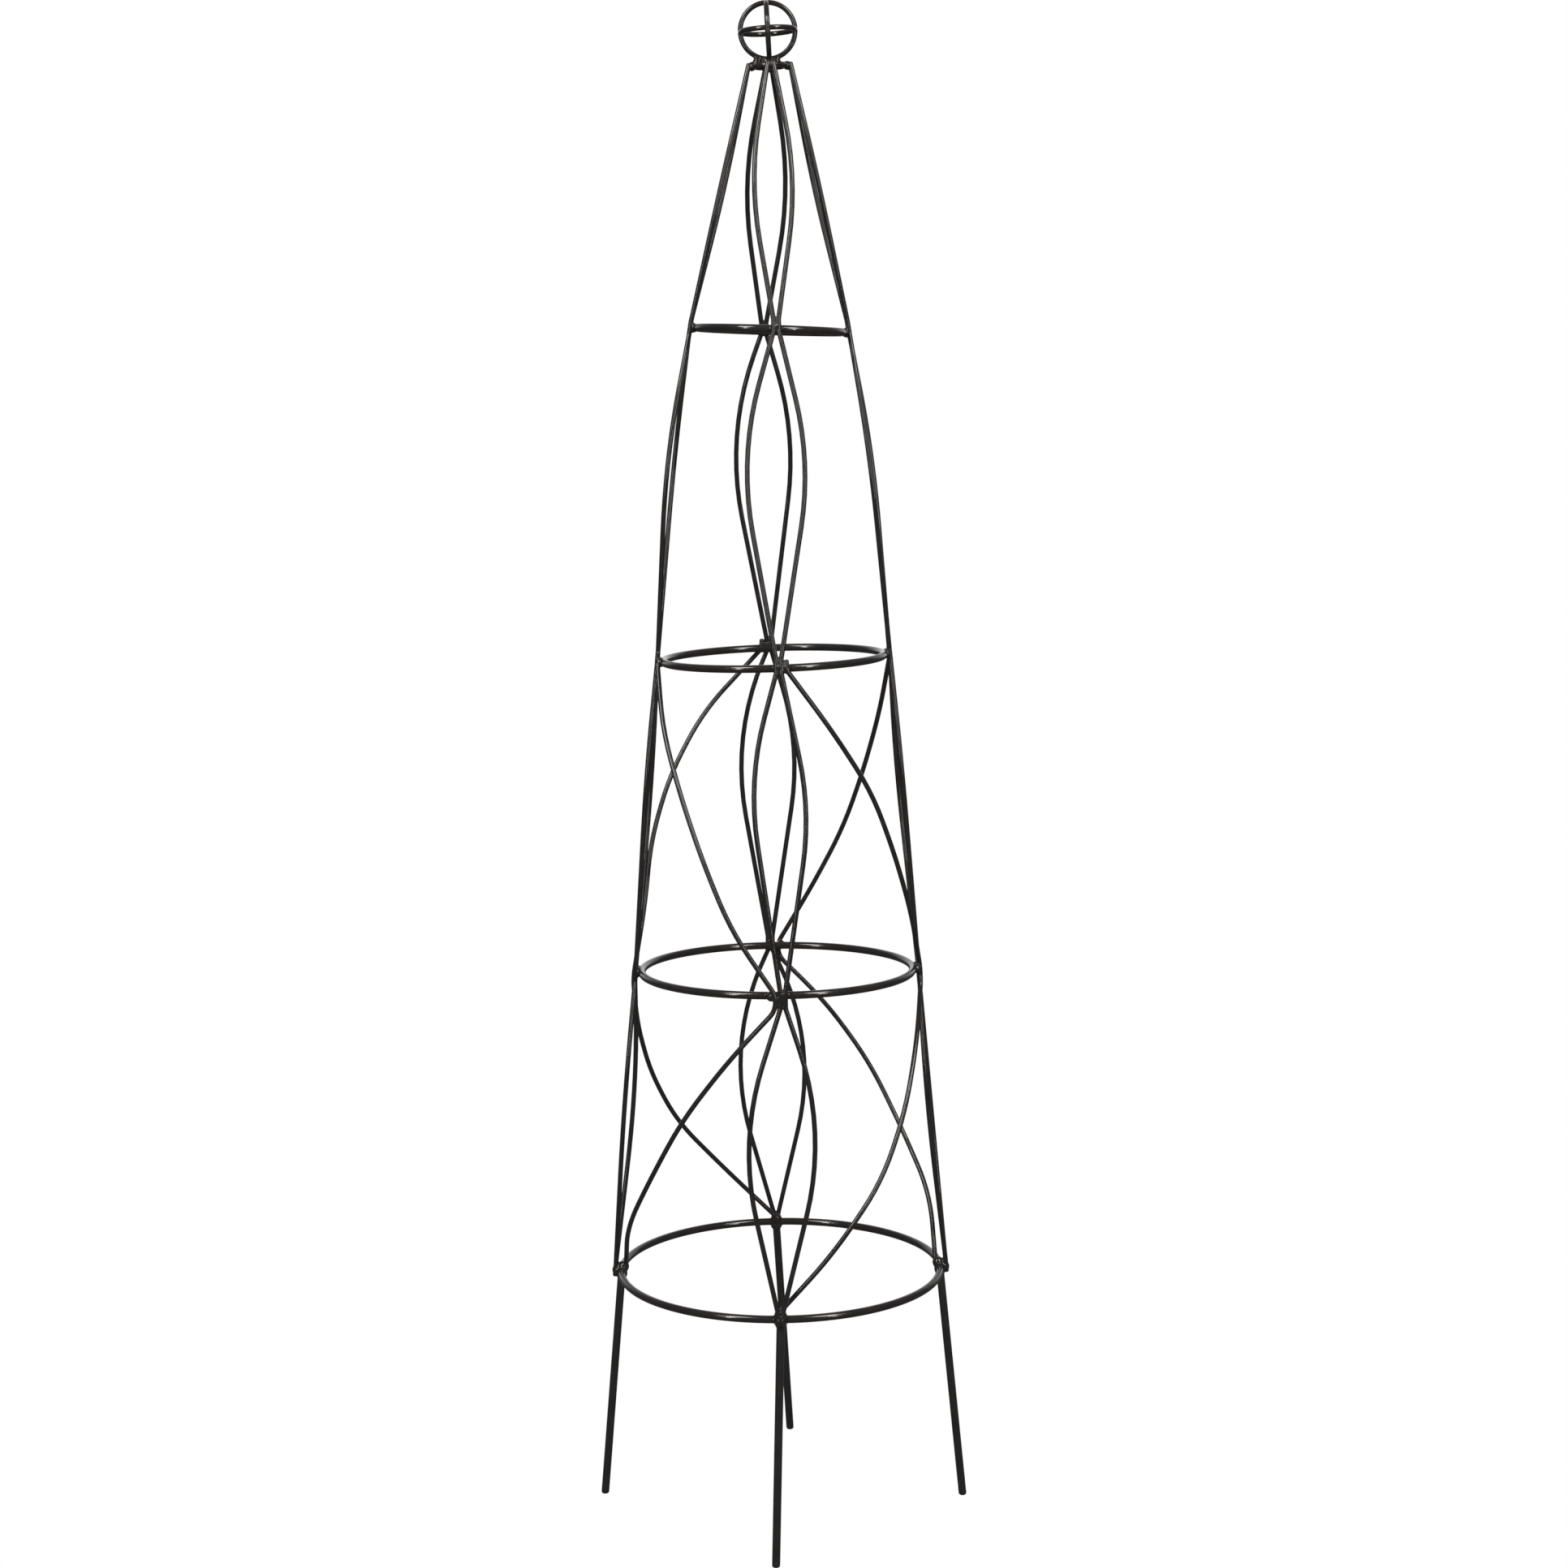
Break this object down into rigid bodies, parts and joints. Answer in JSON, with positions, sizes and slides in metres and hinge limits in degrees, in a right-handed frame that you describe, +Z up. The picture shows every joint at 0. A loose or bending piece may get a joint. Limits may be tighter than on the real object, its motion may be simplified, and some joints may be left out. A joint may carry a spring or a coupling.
{
  "type": "garden obelisk",
  "caption": "Tall tapering garden obelisk of welded round wire: rings, bowed leaf wires, winding scroll wires, straight legs and an open wire ball on top, coated black.",
  "frame": {"origin": "on the ground under the middle of the obelisk, in the plane of the four foot tips", "axes": "+Z up along the obelisk, -Y towards the front corner, +X to the right"},
  "size_m": [0.3766, 0.3766, 1.5],
  "materials": {
    "black_coating": "satin-gloss black dip coating on steel wire"
  },
  "bodies": {
    "root": {"top_ring": "black_coating", "upper_ring": "black_coating", "middle_ring": "black_coating", "lower_ring": "black_coating", "base_ring": "black_coating", "leaf_front_left": "black_coating", "leaf_front_right": "black_coating", "leaf_right_front": "black_coating", "leaf_right_back": "black_coating", "leaf_back_right": "black_coating", "leaf_back_left": "black_coating", "leaf_left_back": "black_coating", "leaf_left_front": "black_coating", "scroll_front": "black_coating", "scroll_right": "black_coating", "scroll_back": "black_coating", "scroll_left": "black_coating", "leg_front": "black_coating", "leg_right": "black_coating", "leg_back": "black_coating", "leg_left": "black_coating", "finial_hoop_front": "black_coating", "finial_hoop_side": "black_coating", "finial_equator": "black_coating", "finial_bar": "black_coating", "weld_top": "black_coating", "weld_upper_front": "black_coating", "weld_upper_right": "black_coating", "weld_upper_back": "black_coating", "weld_upper_left": "black_coating", "weld_middle_front": "black_coating", "weld_middle_right": "black_coating", "weld_middle_back": "black_coating", "weld_middle_left": "black_coating", "weld_lower_front": "black_coating", "weld_lower_right": "black_coating", "weld_lower_back": "black_coating", "weld_lower_left": "black_coating", "weld_base_front": "black_coating", "weld_base_right": "black_coating", "weld_base_back": "black_coating", "weld_base_left": "black_coating"}
  },
  "joints": []
}
